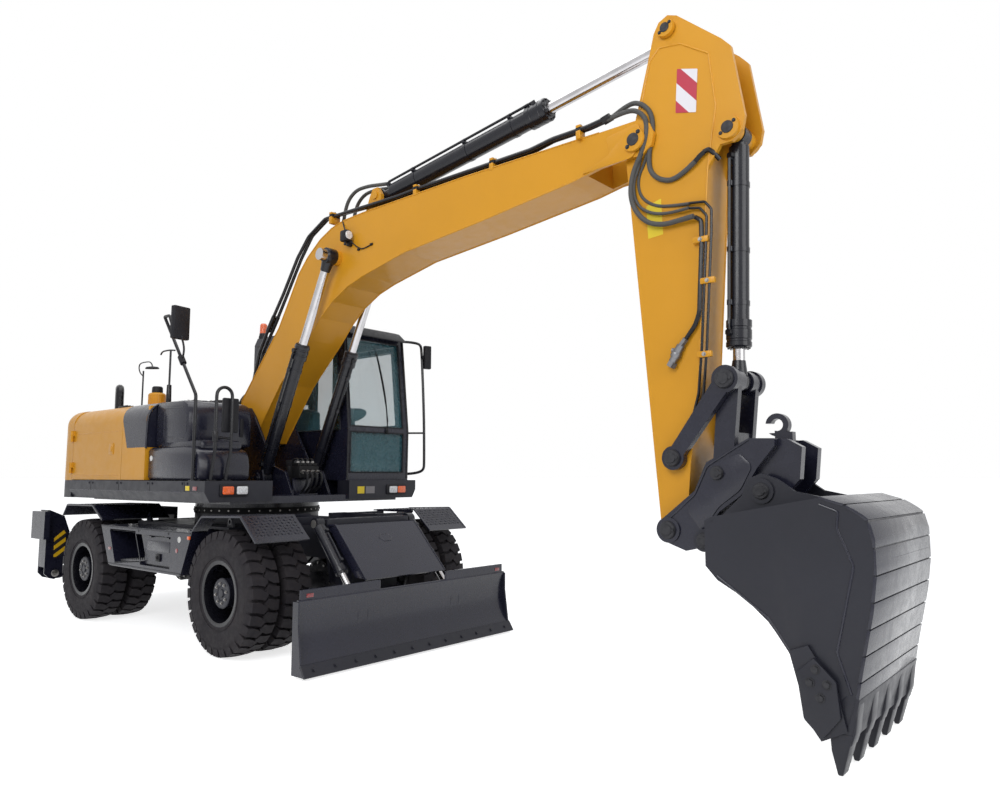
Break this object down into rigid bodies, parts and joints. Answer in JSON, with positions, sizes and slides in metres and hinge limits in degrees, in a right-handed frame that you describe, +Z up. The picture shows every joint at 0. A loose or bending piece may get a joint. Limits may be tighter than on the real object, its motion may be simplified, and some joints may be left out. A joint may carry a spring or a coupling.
{
  "type": "wheeled excavator",
  "caption": "Wheeled excavator with a slewing cab and engine deck, digging arm, bucket on a quick coupler, dozer blade and rear outriggers.",
  "frame": {"origin": "on the ground under the middle of the machine's bounding box, in the digging arm's plane within a few centimetres", "axes": "+X forward along the arm, +Y to the machine's left, +Z up; the slew axis stands 1.870 m behind the origin"},
  "size_m": [9.09, 2.88, 4.72],
  "materials": {
    "yellow_paint": "satin",
    "charcoal_paint": "satin",
    "black_paint": "satin",
    "chrome_rod": "polished",
    "worn_steel": "worn",
    "cast_grey": "rough",
    "tyre_rubber": "matte",
    "cab_glass": "clear",
    "black_plastic": "matte",
    "seat_fabric": "woven",
    "amber_lens": "glossy"
  },
  "bodies": {
    "carriage": {"chassis_frame": "charcoal_paint", "carriage_deck": "charcoal_paint", "slew_ring": "worn_steel", "front_axle": "cast_grey", "rear_axle": "cast_grey", "fenders": "charcoal_paint", "side_boxes": "charcoal_paint", "blade_cover": "charcoal_paint", "outrigger_frame": "charcoal_paint"},
    "upper": {"upper_frame": "charcoal_paint", "skirts": "charcoal_paint", "counterweight": "yellow_paint", "hood_frame": "yellow_paint", "engine_block": "black_paint", "fuel_tank": "charcoal_paint", "hydraulic_tank": "charcoal_paint", "hood_stacks": "black_paint", "cab_shell": "charcoal_paint", "cab_windows": "cab_glass", "cab_controls": "black_plastic", "operator_seat": "seat_fabric", "beacon": "amber_lens", "mirrors_and_rails": "black_paint"},
    "knuckle_left": {"knuckle_left": "cast_grey"},
    "knuckle_right": {"knuckle_right": "cast_grey"},
    "wheel_front_left": {"wheel_front_left": "charcoal_paint", "tyres_front_left": "tyre_rubber"},
    "wheel_front_right": {"wheel_front_right": "charcoal_paint", "tyres_front_right": "tyre_rubber"},
    "wheel_rear_left": {"wheel_rear_left": "charcoal_paint", "tyres_rear_left": "tyre_rubber"},
    "wheel_rear_right": {"wheel_rear_right": "charcoal_paint", "tyres_rear_right": "tyre_rubber"},
    "boom": {"boom": "yellow_paint"},
    "boom_barrels": {"boom_cylinders": "charcoal_paint"},
    "boom_rods": {"boom_rods": "chrome_rod"},
    "arm_barrel": {"arm_cylinder": "charcoal_paint"},
    "arm_rod": {"arm_rod": "chrome_rod"},
    "stick": {"stick": "yellow_paint"},
    "side_links": {"side_links": "charcoal_paint"},
    "bucket_link": {"bucket_link": "charcoal_paint"},
    "bucket_barrel": {"bucket_cylinder": "charcoal_paint"},
    "bucket_rod": {"bucket_rod": "chrome_rod"},
    "bucket": {"quick_coupler": "charcoal_paint", "bucket": "charcoal_paint"},
    "blade": {"dozer_blade": "charcoal_paint"},
    "blade_barrels": {"blade_cylinders": "black_paint"},
    "blade_rods": {"blade_rods": "chrome_rod"},
    "cab_door": {"cab_door": "charcoal_paint", "door_glass": "cab_glass"},
    "engine_lid": {"engine_hood": "yellow_paint"},
    "rear_door_left": {"rear_door_left": "yellow_paint"},
    "rear_door_right": {"rear_door_right": "yellow_paint"},
    "toolbox_door": {"toolbox_door": "charcoal_paint"},
    "outrigger_leg_left": {"outrigger_leg_left": "charcoal_paint"},
    "outrigger_barrel_left": {"outrigger_cylinder_left": "black_paint"},
    "outrigger_rod_left": {"outrigger_rod_left": "chrome_rod"},
    "outrigger_leg_right": {"outrigger_leg_right": "charcoal_paint"},
    "outrigger_barrel_right": {"outrigger_cylinder_right": "black_paint"},
    "outrigger_rod_right": {"outrigger_rod_right": "chrome_rod"}
  },
  "joints": [
    {"name": "slew", "type": "hinge", "parent": "carriage", "child": "upper", "pos_m": [-1.87, 0, 1.2], "axis": [0, 0, 1], "continuous": true},
    {"name": "steer_left", "type": "hinge", "parent": "carriage", "child": "knuckle_left", "pos_m": [-0.495, 0.88, 0.53], "axis": [0, 0, 1], "range_deg": [-30, 30]},
    {"name": "wheel_front_left_spin", "type": "hinge", "parent": "knuckle_left", "child": "wheel_front_left", "pos_m": [-0.495, 0.97, 0.53], "axis": [0, 1, 0], "continuous": true},
    {"name": "wheel_rear_left_spin", "type": "hinge", "parent": "carriage", "child": "wheel_rear_left", "pos_m": [-3.245, 0.97, 0.53], "axis": [0, 1, 0], "continuous": true},
    {"name": "steer_right", "type": "hinge", "parent": "carriage", "child": "knuckle_right", "pos_m": [-0.495, -0.88, 0.53], "axis": [0, 0, 1], "range_deg": [-30, 30]},
    {"name": "wheel_front_right_spin", "type": "hinge", "parent": "knuckle_right", "child": "wheel_front_right", "pos_m": [-0.495, -0.97, 0.53], "axis": [0, 1, 0], "continuous": true},
    {"name": "wheel_rear_right_spin", "type": "hinge", "parent": "carriage", "child": "wheel_rear_right", "pos_m": [-3.245, -0.97, 0.53], "axis": [0, 1, 0], "continuous": true},
    {"name": "boom_lift", "type": "hinge", "parent": "upper", "child": "boom", "pos_m": [-1.8, 0, 2.06], "axis": [0, -1, 0], "range_deg": [-58, 32]},
    {"name": "stick_crowd", "type": "hinge", "parent": "boom", "child": "stick", "pos_m": [2.988, 0, 3.864], "axis": [0, 1, 0], "range_deg": [-75, 36]},
    {"name": "bucket_curl", "type": "hinge", "parent": "stick", "child": "bucket", "pos_m": [3.197, 0, 1.172], "axis": [0, -1, 0], "range_deg": [-140, 5]},
    {"name": "boom_barrel_tilt", "type": "hinge", "parent": "upper", "child": "boom_barrels", "pos_m": [-1.32, 0, 1.5], "axis": [0, -1, 0], "range_deg": [-58.06, 32.48]},
    {"name": "boom_rod_slide", "type": "slide", "parent": "boom_barrels", "child": "boom_rods", "axis": [0.4256, 0, 0.9049], "range_m": [-0.725, 0.4022]},
    {"name": "arm_barrel_tilt", "type": "hinge", "parent": "boom", "child": "arm_barrel", "pos_m": [0.09, 0, 4.19], "axis": [0, 1, 0], "range_deg": [-3.3, 2.1]},
    {"name": "arm_rod_slide", "type": "slide", "parent": "arm_barrel", "child": "arm_rod", "axis": [0.991, 0, 0.134], "range_m": [-0.9848, 0.4753]},
    {"name": "side_link_swing", "type": "hinge", "parent": "stick", "child": "side_links", "pos_m": [3.232, 0, 1.635], "axis": [0, -1, 0], "range_deg": [-121.59, 5.31]},
    {"name": "bucket_link_swing", "type": "hinge", "parent": "side_links", "child": "bucket_link", "pos_m": [3.603, 0, 2.126], "axis": [0, -1, 0], "range_deg": [-4.24, 91.65]},
    {"name": "bucket_barrel_tilt", "type": "hinge", "parent": "stick", "child": "bucket_barrel", "pos_m": [3.659, 0, 3.773], "axis": [0, -1, 0], "range_deg": [-1.21, 6.78]},
    {"name": "bucket_rod_slide", "type": "slide", "parent": "bucket_barrel", "child": "bucket_rod", "axis": [-0.034, 0, -0.9994], "range_m": [-0.0455, 1.1404]},
    {"name": "blade_lift", "type": "hinge", "parent": "carriage", "child": "blade", "pos_m": [-0.02, 0, 0.45], "axis": [0, -1, 0], "range_deg": [-7, 32]},
    {"name": "blade_barrel_tilt", "type": "hinge", "parent": "carriage", "child": "blade_barrels", "pos_m": [-0.08, 0, 1.098], "axis": [0, -1, 0], "range_deg": [-3.53, 12.57]},
    {"name": "blade_rod_slide", "type": "slide", "parent": "blade_barrels", "child": "blade_rods", "axis": [0.6618, 0, -0.7497], "range_m": [-0.2455, 0.0576]},
    {"name": "outrigger_left_swing", "type": "hinge", "parent": "carriage", "child": "outrigger_leg_left", "pos_m": [-4.36, 1.13, 0.4], "axis": [-1, 0, 0], "range_deg": [0, 105]},
    {"name": "outrigger_left_barrel_tilt", "type": "hinge", "parent": "carriage", "child": "outrigger_barrel_left", "pos_m": [-4.36, 0.3, 0.8], "axis": [-1, 0, 0], "range_deg": [-1, 18.23]},
    {"name": "outrigger_left_rod_slide", "type": "slide", "parent": "outrigger_barrel_left", "child": "outrigger_rod_left", "axis": [0, 0.9999, -0.0124], "range_m": [-0.005, 0.5831]},
    {"name": "outrigger_right_swing", "type": "hinge", "parent": "carriage", "child": "outrigger_leg_right", "pos_m": [-4.36, -1.13, 0.4], "axis": [1, 0, 0], "range_deg": [0, 105]},
    {"name": "outrigger_right_barrel_tilt", "type": "hinge", "parent": "carriage", "child": "outrigger_barrel_right", "pos_m": [-4.36, -0.3, 0.8], "axis": [1, 0, 0], "range_deg": [-1, 18.23]},
    {"name": "outrigger_right_rod_slide", "type": "slide", "parent": "outrigger_barrel_right", "child": "outrigger_rod_right", "axis": [0, -0.9999, -0.0124], "range_m": [-0.005, 0.5831]},
    {"name": "cab_door_swing", "type": "hinge", "parent": "upper", "child": "cab_door", "pos_m": [-2.11, 1.275, 2.2], "axis": [0, 0, 1], "range_deg": [0, 100]},
    {"name": "engine_lid_lift", "type": "hinge", "parent": "upper", "child": "engine_lid", "pos_m": [-2.706, 0, 2.272], "axis": [0, 1, 0], "range_deg": [0, 60]},
    {"name": "rear_door_left_swing", "type": "hinge", "parent": "upper", "child": "rear_door_left", "pos_m": [-3.612, 1.27, 1.9], "axis": [0, 0, 1], "range_deg": [0, 95]},
    {"name": "rear_door_right_swing", "type": "hinge", "parent": "upper", "child": "rear_door_right", "pos_m": [-3.612, -1.27, 1.9], "axis": [0, 0, -1], "range_deg": [0, 95]},
    {"name": "toolbox_door_swing", "type": "hinge", "parent": "carriage", "child": "toolbox_door", "pos_m": [-1.61, -1.228, 0.946], "axis": [-1, 0, 0], "range_deg": [0, 100]}
  ],
  "couplings": [
    {"joint": "steer_right", "follows": "steer_left", "ratio": 1},
    {"joint": "boom_barrel_tilt", "follows": "boom_lift", "ratio": 0.96452},
    {"joint": "boom_rod_slide", "follows": "boom_lift", "m_per_rad": 0.69727},
    {"joint": "arm_barrel_tilt", "follows": "stick_crowd", "ratio": 0.03},
    {"joint": "arm_rod_slide", "follows": "stick_crowd", "m_per_rad": 0.73382},
    {"joint": "side_link_swing", "follows": "bucket_curl", "ratio": 0.84445},
    {"joint": "bucket_link_swing", "follows": "bucket_curl", "ratio": -0.63479},
    {"joint": "bucket_barrel_tilt", "follows": "bucket_curl", "ratio": -0.04044},
    {"joint": "bucket_rod_slide", "follows": "bucket_curl", "m_per_rad": -0.45555},
    {"joint": "blade_barrel_tilt", "follows": "blade_lift", "ratio": 0.35437},
    {"joint": "blade_rod_slide", "follows": "blade_lift", "m_per_rad": -0.42215},
    {"joint": "outrigger_left_barrel_tilt", "follows": "outrigger_left_swing", "ratio": 0.16408},
    {"joint": "outrigger_left_rod_slide", "follows": "outrigger_left_swing", "m_per_rad": 0.31546},
    {"joint": "outrigger_right_barrel_tilt", "follows": "outrigger_right_swing", "ratio": 0.16408},
    {"joint": "outrigger_right_rod_slide", "follows": "outrigger_right_swing", "m_per_rad": 0.31546}
  ]
}
